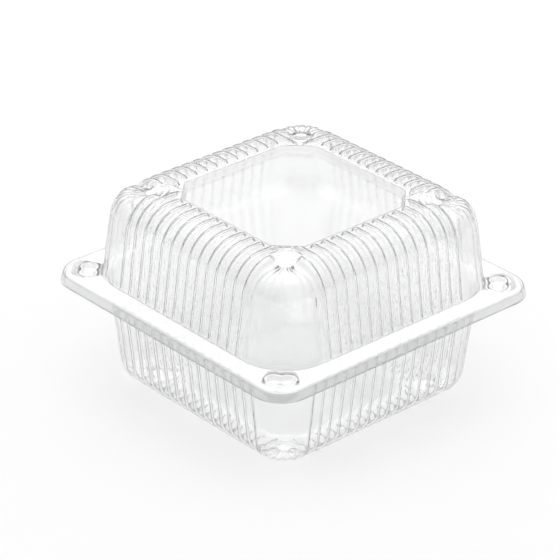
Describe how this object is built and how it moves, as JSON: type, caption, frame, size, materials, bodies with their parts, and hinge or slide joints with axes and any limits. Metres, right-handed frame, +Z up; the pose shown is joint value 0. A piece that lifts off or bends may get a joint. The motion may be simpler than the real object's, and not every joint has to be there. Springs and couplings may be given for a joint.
{
  "type": "hinged clamshell carton",
  "caption": "Clear formed-plastic clamshell carton, square and fluted: tray and domed lid joined by a back living hinge, with press locks in the rim corners.",
  "frame": {"origin": "on the ground, under the middle of the closed carton", "axes": "+Z up out of the lid, +Y towards the hinge at the back, +X to the right"},
  "size_m": [0.13, 0.13, 0.081],
  "materials": {
    "clear_tray": "clear glossy PET sheet, formed",
    "clear_lid": "clear glossy PET sheet, formed",
    "clear_hinge": "clear PET sheet, slightly whitened at the fold",
    "clear_lock": "clear glossy PET sheet, drawn a little thinner"
  },
  "bodies": {
    "tray": {"base_tray": "clear_tray", "living_hinge": "clear_hinge", "lock_socket_front_left": "clear_lock", "lock_socket_front_right": "clear_lock", "lock_socket_back_left": "clear_lock", "lock_socket_back_right": "clear_lock"},
    "lid": {"lid": "clear_lid", "lock_button_front_left": "clear_lock", "lock_button_front_right": "clear_lock", "lock_button_back_left": "clear_lock", "lock_button_back_right": "clear_lock"}
  },
  "joints": [
    {"name": "lid_hinge", "type": "hinge", "parent": "tray", "child": "lid", "pos_m": [0, 0.0646, 0.0412], "axis": [-1, 0, 0], "range_deg": [0, 180]}
  ]
}
